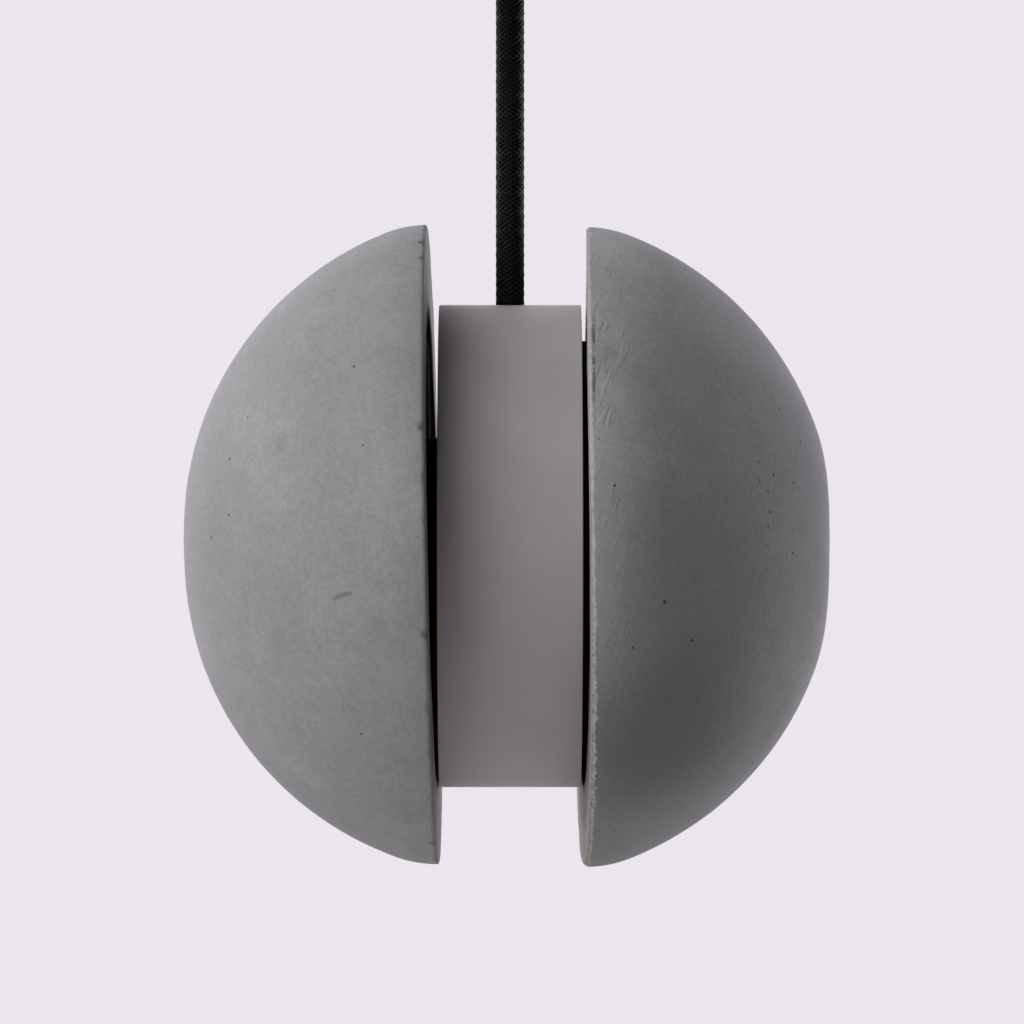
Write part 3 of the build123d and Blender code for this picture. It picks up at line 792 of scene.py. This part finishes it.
# The right dome's shades are darker than the left's: painted shade on the dome that turns away from the key light.
# The rim-face shade and the worn colours given here are painted shade and light too.
CONCRETE = {
    "left": cast_concrete("cast_concrete_left", 3.0, ("#868586", "#8c8b8c", "#939293"),
                          marks(domes["left"], LEFT_PITS), marks(domes["left"], LEFT_STAINS), 0.7, "#7d7873"),
    "right": cast_concrete("cast_concrete_right", 8.0, ("#7b7a7a", "#818080", "#888787"),
                           marks(domes["right"], RIGHT_PITS), marks(domes["right"], RIGHT_STAINS_AND_SHADE), 0.12, "#b3b0ae",
                           cluster=on_front(domes["right"], [CROWD_OF_PITS])[0], trowel=TROWEL_AND_HIGHLIGHT_BAND, specks=0.3,
                           dirt_line=DIRT_LINE),
}
for name, piece in domes.items():
    dress(piece, CONCRETE[name])
print("pits", len(LEFT_PITS) + len(RIGHT_PITS), "stains", len(LEFT_STAINS) + len(RIGHT_STAINS_AND_SHADE))

# %% [markdown]
# Every other finish comes from one recipe, with its own colour, gloss, grain size and unevenness.
# The black parts beside the drum are more matt and darker than paint: painted shade, which keeps the
# gap between drum and dome dark, since light that falls into it meets near black and hardly comes back.

# %% The other finishes
BRAID = plain("black_polyester_braid", "#040404", 0.62, grain_mm=0.2, grain=0.3, bump=0.7, specular=0.16)
DRUM_COAT = plain("warm_grey_powder_coat", "#a7a1a2", 0.62, grain_mm=0.5, grain=0.03, bump=0.06, uneven=0.1,
                  specular=0.35)
FINISHES = {
    "canopy_paint": plain("black_powder_coat", "#161616", 0.5),
    "zinc_steel": plain("zinc_plated_steel", "#a9adb0", 0.34, metallic=1.0),
    "black_steel": plain("black_oxide_steel", "#1c1b1a", 0.45, metallic=0.6),
    # Painted shade: darker and more matt than real anodising, so that the gap beside the drum stays dark.
    "black_aluminium": plain("black_anodised_aluminium_painted_shade", "#040404", 0.85, specular=0.1),
    "brass": plain("turned_brass", "#b08d4f", 0.3, metallic=1.0),
    "white_nylon": plain("white_nylon", "#dedcd6", 0.45),
    "lead_sleeve": plain("pvc_lead_sleeve", "#5c3420", 0.4),
    "circuit_board": plain("white_solder_mask", "#e8e8e4", 0.35),
    "led_phosphor": plain("led_phosphor", "#e8c94a", 0.3),
    "opal_acrylic": plain("opal_acrylic", "#f0eeea", 0.35),
    "black_rubber": plain("black_rubber", "#0f0f0f", 0.75),
    "drum_paint": DRUM_COAT,
    "textile_cord": BRAID,
}


dress(cord, BRAID)
slot_of = {part["node"]: part["material_slot"] for part in frame["record"]["subparts"]}
body_of = {node: body for body, nodes in frame["record"]["behaviour"]["bodies"].items() for node in nodes}
print("finishes", len(FINISHES))

# %% [markdown]
# ## Turned metal
# The drum's shell, the canopy cup, the grip nut and the rod were all rolled, spun or turned, so
# their sections are drawn once and carried round an axis. Each corner gets the small radius that
# a real edge has, because that is where an edge catches light.

# %% Turned rings


def rounded(corners, radius, steps=3):
    """A closed section's (radius, height) corners, each cut back to a small arc."""
    out = []
    for i, corner in enumerate(corners):
        here = np.array(corner)
        back, ahead = np.array(corners[i - 1]) - here, np.array(corners[(i + 1) % len(corners)]) - here
        reach = min(radius, 0.45 * np.hypot(*back), 0.45 * np.hypot(*ahead))
        start, end = here + back / np.hypot(*back) * reach, here + ahead / np.hypot(*ahead) * reach
        for t in np.linspace(0, 1, steps + 1):
            out.append((1 - t) ** 2 * start + 2 * t * (1 - t) * here + t * t * end)
    return out


def turned(name, section, place, node, around=256, sharp=35):
    """A closed (radius, height) section in mm, carried round Z and put in place; it stands for a CAD node."""
    points = [(r * x, r * y, h) for r, h in section for x, y in circle(around)]
    piece = mesh_piece(name, [Vector(p) * MM for p in points], tube(0, len(section), around, closed=True))
    piece.data.transform(place)
    outwards(piece.data)
    shade(piece.data, sharp)
    finish(piece, node)
    return piece


def finish(piece, node, replace=True):
    """Gives a piece its node's body, material slot and finish, and hides the node unless the piece only adds."""
    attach(piece, body_of[node])
    if replace:
        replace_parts(piece, node)
    dress(piece, FINISHES[slot_of[node]])


ALONG_X = Matrix.Translation((0, 0, DRUM_AXIS_Z)) @ Matrix.Rotation(radians(90), 4, "Y")
SHELL_WALL, SHELL_EDGE = 1.5, 0.28
CORD_HOLE_R = 5.2
half_mm, outer, inner = HALF_W / MM, DRUM_R / MM, DRUM_R / MM - SHELL_WALL
shell_section = rounded([(outer, -half_mm), (outer, half_mm), (inner, half_mm), (inner, -half_mm)], SHELL_EDGE)
drum = turned("rolled_drum_shell", shell_section, ALONG_X, "drum_shell", around=360)
print("drum", len(drum.data.polygons), "faces")

# %% The cord's hole in the drum


def cut_hole(piece, radius, low, high):
    """Cuts a round upright hole through a piece, and keeps the result as a plain mesh."""
    work = bmesh.new()
    bmesh.ops.create_cone(work, cap_ends=True, segments=48, radius1=radius, radius2=radius, depth=high - low,
                          matrix=Matrix.Translation((0, 0, (low + high) / 2)))
    mesh = bpy.data.meshes.new("cutter")
    work.to_mesh(mesh)
    work.free()
    cutter = put("cutter", mesh)
    cut = piece.modifiers.new("hole", "BOOLEAN")
    cut.object, cut.solver = cutter, "EXACT"
    result = baked(piece)
    piece.modifiers.remove(cut)
    piece.data = result
    bpy.data.objects.remove(cutter)
    shade(piece.data, 35)


cut_hole(drum, CORD_HOLE_R * MM, DRUM_HIGH.z - 5 * MM, DRUM_HIGH.z + 2 * MM)
print("drum with its hole", len(drum.data.polygons), "faces")

# %% Canopy cup and grip nut
UPRIGHT = Matrix.Identity(4)
CUP_R, CUP_WALL, CUP_BEND, INNER_BEND, CUP_LIP = 50.0, 1.2, 3.0, 2.0, 0.2
CUP_LOW, CUP_HIGH = (corner / MM for corner in box_of("canopy_cup"))
floor, lip, inside = CUP_LOW.z, CUP_HIGH.z - CUP_LIP, CUP_R - CUP_WALL
outer_bend = [(CUP_R - CUP_BEND + CUP_BEND * sin(a), floor + CUP_BEND - CUP_BEND * cos(a))
              for a in np.linspace(0, pi / 2, 10)]
inner_bend = [(inside - INNER_BEND + INNER_BEND * sin(a), floor + CUP_WALL + INNER_BEND - INNER_BEND * cos(a))
              for a in np.linspace(pi / 2, 0, 8)]
cup_section = [(CORD_HOLE_R, floor)] + outer_bend + [
    (CUP_R, lip), (CUP_R - CUP_LIP, CUP_HIGH.z), (inside + CUP_LIP, CUP_HIGH.z), (inside, lip)]
cup_section += inner_bend + [(CORD_HOLE_R, floor + CUP_WALL)]
cup = turned("spun_canopy_cup", cup_section, UPRIGHT, "canopy_cup")
NUT_R, NUT_BORE, NUT_MOUTH, NUT_FLOOR = 7.7, 5.05, 3.8, 4.0
nut_low, nut_high = GRIP_LOW.z / MM, GRIP_HIGH.z / MM
nut_section = rounded([(5.6, nut_low), (NUT_R - 1.0, nut_low), (NUT_R, nut_low + 1.0), (NUT_R, nut_high),
                       (NUT_BORE, nut_high), (NUT_BORE, nut_low + NUT_FLOOR + 1.0),
                       (NUT_MOUTH, nut_low + NUT_FLOOR + 1.0), (NUT_MOUTH, nut_low + NUT_FLOOR)], 0.25)
grip_nut = turned("grip_nut_body", nut_section, UPRIGHT, "cord_grip_nut", around=96)
print("cup", len(cup.data.polygons), "nut", len(grip_nut.data.polygons), "faces")

# %% [markdown]
# ## Rings of small parts
# Twelve LEDs stand in a ring on each board, three screws hold each housing, and forty fine ribs
# run round the grip nut for the fingers. Each of these is one small part, made once in mesh
# code, that Geometry Nodes copies round a circle. The tree takes the part as its geometry and
# has named inputs for the ring's radius, how many there are and where the first one stands.

# %% A tree that copies a part round a ring


def new_tree(name, wanted):
    """An empty Geometry Nodes tree with these inputs, each a name and a kind, and what it is given."""
    tree = bpy.data.node_groups.new(name, "GeometryNodeTree")
    tree.interface.new_socket("Geometry", in_out="OUTPUT", socket_type="NodeSocketGeometry")
    for label, kind in wanted:
        tree.interface.new_socket(label, in_out="INPUT", socket_type=f"NodeSocket{kind}")
    return tree, add(tree, "NodeGroupInput").outputs


def paint_and_end(tree, geometry, finish_given):
    """Turns copies into real mesh, gives it its finish and joins it to the tree's output."""
    real = add(tree, "GeometryNodeRealizeInstances", {0: geometry})
    painted = add(tree, "GeometryNodeSetMaterial", {"Geometry": real.outputs[0], "Material": finish_given})
    add(tree, "NodeGroupOutput", {0: painted.outputs[0]})


def ring_tree():
    tree, given = new_tree("copies_round_a_ring", (("Part", "Geometry"), ("Ring radius", "Float"), ("Count", "Int"),
                                                   ("First turn", "Float"), ("Finish", "Material")))
    line = add(tree, "GeometryNodeMeshLine", {"Count": given["Count"], "Offset": (0, 0, 0)})
    number = add(tree, "GeometryNodeInputIndex").outputs[0]
    share = math_of(tree, "DIVIDE", number, given["Count"])
    turn = math_of(tree, "MULTIPLY_ADD", share, 2 * pi, given["First turn"])
    x = times(tree, math_of(tree, "COSINE", turn), given["Ring radius"])
    y = times(tree, math_of(tree, "SINE", turn), given["Ring radius"])
    spot = add(tree, "ShaderNodeCombineXYZ", {0: x, 1: y}).outputs[0]
    spread = add(tree, "GeometryNodeSetPosition", {"Geometry": line.outputs[0], "Position": spot})
    facing = add(tree, "ShaderNodeCombineXYZ", {2: turn}).outputs[0]
    copies = add(tree, "GeometryNodeInstanceOnPoints", {"Points": spread.outputs[0], "Instance": given["Part"],
                                                        "Rotation": facing})
    paint_and_end(tree, copies.outputs[0], given["Finish"])
    return tree


RING_TREE = ring_tree()


def grown(name, tree, values, node, place, start=None, replace=True):
    """Runs a tree with these values on a part's mesh, and keeps the result as a plain mesh in place."""
    holder = put(name, start or bpy.data.meshes.new(name))
    growth = holder.modifiers.new("growth", "NODES")
    growth.node_group = tree
    for item in tree.interface.items_tree:
        if item.in_out == "INPUT" and item.name in values:
            growth[item.identifier] = values[item.name]
    mesh = baked(holder)
    holder.modifiers.remove(growth)
    holder.data = mesh
    mesh.transform(place)
    finish(holder, node, replace)
    print(name, len(mesh.polygons), "faces")
    return holder


# %% One LED, one screw, one rib


def part_mesh(name, sections, corners):
    """A small lofted part: each section is (half width, half depth, height, cut) in mm, with cut corners."""
    points = []
    for half_x, half_y, height, cut in sections:
        if corners == 8:
            near_x, near_y = half_x - cut, half_y - cut
            flat = [(near_x, half_y), (-near_x, half_y), (-half_x, near_y), (-half_x, -near_y),
                    (-near_x, -half_y), (near_x, -half_y), (half_x, -near_y), (half_x, near_y)]
        else:
            flat = [(half_x * x, half_y * y) for x, y in circle(corners)]
        points += [(x * MM, y * MM, height * MM) for x, y in flat]
    mesh = bpy.data.meshes.new(name)
    mesh.from_pydata(points, [], tube(0, len(sections), corners))
    outwards(mesh)
    shade(mesh, 30)
    return mesh


led_sections = [(1.4, 1.75, 0.0, 0.15), (1.4, 1.75, 0.62, 0.15), (1.28, 1.62, 0.7, 0.15), (1.1, 1.4, 0.7, 0.5),
                (1.02, 1.3, 0.86, 0.5), (0.7, 0.95, 0.9, 0.4)]
screw_sections = [(r, r, height, 0) for r, height in (
    (1.25, -4.0), (1.25, -0.01), (2.6, 0.0), (2.6, 0.9), (2.3, 1.45), (1.5, 1.8), (1.2, 1.8), (1.1, 0.9))]
rib_sections = [(0.12, 0.34, 1.35, 0.08), (0.34, 0.34, 1.8, 0.16), (0.34, 0.34, 9.4, 0.16),
                (0.12, 0.34, 9.8, 0.08)]

# %% LEDs, housing screws and the nut's ribs


def ring_of(name, node, place, part, ring_mm, count, finish_slot, first=0.0, replace=True):
    values = {"Ring radius": ring_mm * MM, "Count": count, "First turn": first, "Finish": FINISHES[finish_slot]}
    return grown(name, RING_TREE, values, node, place, part, replace)


PAN_HEAD = 1.8 * MM
for name, side in DOMES.items():
    way = side["way"]
    face_on = Matrix.Translation((0, 0, DRUM_AXIS_Z)) @ Matrix.Rotation(radians(90 * way), 4, "Y")
    board = min(abs(corner[0]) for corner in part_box(f"{name}_led_chips"))
    head = max(abs(corner[0]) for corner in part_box(f"{name}_housing_screws")) - PAN_HEAD
    ring_of(f"{name}_led_ring", f"{name}_led_chips", face_on @ Matrix.Translation((0, 0, board)),
            part_mesh("led", led_sections, 8), 34, 12, "led_phosphor")
    ring_of(f"{name}_screw_ring", f"{name}_housing_screws", face_on @ Matrix.Translation((0, 0, head)),
            part_mesh("pan_head_screw", screw_sections, 24), 24, 3, "black_steel", pi if way > 0 else 0.0)

ring_of("grip_nut_ribs", "cord_grip_nut", Matrix.Translation((0, 0, GRIP_LOW.z - 0.1 * MM)),
        part_mesh("rib", rib_sections, 8), NUT_R - 0.08, 40, "canopy_paint", replace=False)

# %% [markdown]
# ## A threaded rod
# A screw thread is a ridge that winds round a core at a fixed pitch, which is a rule that a
# short tree can follow: a helix curve swept with a four-sided ridge, half of it sunk in the
# core. Both ends of the core are bevelled, as a cut rod's are.

# %% The rod and its thread
rod_half = box_of("tie_rod")[1].x / MM


def thread_tree():
    tree, given = new_tree("screw_thread", (("Radius", "Float"), ("Pitch", "Float"), ("Length", "Float"),
                                            ("Ridge", "Float"), ("Finish", "Material")))
    turns = math_of(tree, "DIVIDE", given["Length"], given["Pitch"])
    helix = add(tree, "GeometryNodeCurveSpiral", {"Resolution": 28, "Rotations": turns, "Height": given["Length"],
                                                  "Start Radius": given["Radius"], "End Radius": given["Radius"]})
    upright = add(tree, "GeometryNodeSetCurveNormal", {"Curve": helix.outputs[0]}, mode="Z_UP")
    ridge = add(tree, "GeometryNodeCurvePrimitiveCircle", {"Resolution": 4, "Radius": given["Ridge"]})
    swept = add(tree, "GeometryNodeCurveToMesh", {"Curve": upright.outputs[0], "Profile Curve": ridge.outputs[0],
                                                  "Fill Caps": True})
    paint_and_end(tree, swept.outputs[0], given["Finish"])
    return tree


thread_half = (rod_half - 1.5) * MM
thread = grown("rod_thread", thread_tree(), {"Radius": 4.45 * MM, "Pitch": 1.5 * MM, "Ridge": 0.52 * MM,
                                             "Length": 2 * thread_half, "Finish": FINISHES["zinc_steel"]},
               "tie_rod", ALONG_X @ Matrix.Translation((0, 0, -thread_half)))
outwards(thread.data)
CORE_R, CORE_BEVEL = 4.5, 0.6
core_section = [(0.05, -rod_half), (CORE_R - CORE_BEVEL, -rod_half), (CORE_R, -rod_half + CORE_BEVEL),
                (CORE_R, rod_half - CORE_BEVEL), (CORE_R - CORE_BEVEL, rod_half), (0.05, rod_half)]
rod = turned("rod_core", core_section, ALONG_X, "tie_rod", around=64)

# %% [markdown]
# ## The remaining parts
# The other CAD parts have the right shape already. Each one gets a merged copy whose curved
# faces are shaded smooth and whose real edges stay sharp, and the finish of its slot.

# %% Merged copies


def merged_copy(node):
    work = bmesh.new()
    work.from_mesh(bpy.data.objects[node].data)
    bmesh.ops.remove_doubles(work, verts=work.verts, dist=0.0005 * MM)
    mesh = bpy.data.meshes.new(f"{node}_merged")
    work.to_mesh(mesh)
    work.free()
    shade(mesh, 32)
    piece = put(f"{node}_finished", mesh)
    finish(piece, node)
    return piece


done = {node for piece in scene.objects for node in piece.get("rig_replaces", [])}
copies = [merged_copy(node) for node in slot_of if node not in done]
print("merged copies", len(copies))

# %% [markdown]
# ## Studio
# A pale floor a long way below the lamp, pale surroundings, and soft light.

# %% Studio
MIDDLE = Vector((0, 0, DRUM_AXIS_Z))
FLOOR_DOWN, FLOOR_HALF = 1.0, 4.0
KEY_FROM, KEY_SIZE, KEY_POWER = Vector((-1.34, -1.01, 1.12)), 2.6, 47.5


def clear_from_below(material):
    """Lets a view from under the floor see through it. Light from above still meets a whole floor."""
    tree = material.node_tree
    output = next(node for node in tree.nodes if node.bl_idname == "ShaderNodeOutputMaterial")
    shader = output.inputs["Surface"].links[0].from_socket
    under = add(tree, "ShaderNodeNewGeometry").outputs["Backfacing"]
    clear = add(tree, "ShaderNodeBsdfTransparent").outputs[0]
    either_way = add(tree, "ShaderNodeMixShader", {0: under, 1: shader, 2: clear})
    tree.links.new(either_way.outputs[0], output.inputs["Surface"])
    return material


corners = ((-1, -1), (1, -1), (1, 1), (-1, 1))
ground = mesh_piece("floor", [(x * FLOOR_HALF, y * FLOOR_HALF, DRUM_AXIS_Z - FLOOR_DOWN) for x, y in corners],
                    [(0, 1, 2, 3)])
dress(ground, clear_from_below(plain("pale_floor", "#dad8d6", 0.8)))
key = bpy.data.lights.new("key", "AREA")
key.shape, key.size, key.energy = "DISK", KEY_SIZE, KEY_POWER
lamp = put("key", key)
lamp.location = MIDDLE + KEY_FROM
lamp.rotation_euler = (MIDDLE - lamp.location).to_track_quat("-Z", "Y").to_euler()
world = bpy.data.worlds.new("studio")
scene.world = world
world.use_nodes = True
air = world.node_tree
air.nodes.clear()
seen = add(air, "ShaderNodeLightPath").outputs["Is Camera Ray"]
backdrop = add(air, "ShaderNodeBackground", {"Color": linear("#ebe6ee"), "Strength": 1.0})
heading = add(air, "ShaderNodeTexCoord").outputs["Generated"]
x_part, y_part, z_part = add(air, "ShaderNodeSeparateXYZ", {0: heading}).outputs
behind = times(air, stretch(air, y_part, 0.0, 0.38, 0.1, 3.05), stretch(air, x_part, -1.0, 1.0, 0.85, 1.5))
behind = times(air, behind, stretch(air, z_part, 0.15, 0.7, 1.0, 0.3))
glow = add(air, "ShaderNodeBackground", {"Color": linear("#ebe8f0"), "Strength": behind})
both = add(air, "ShaderNodeMixShader", {0: seen, 1: glow.outputs[0], 2: backdrop.outputs[0]})
add(air, "ShaderNodeOutputWorld", {"Surface": both.outputs[0]})
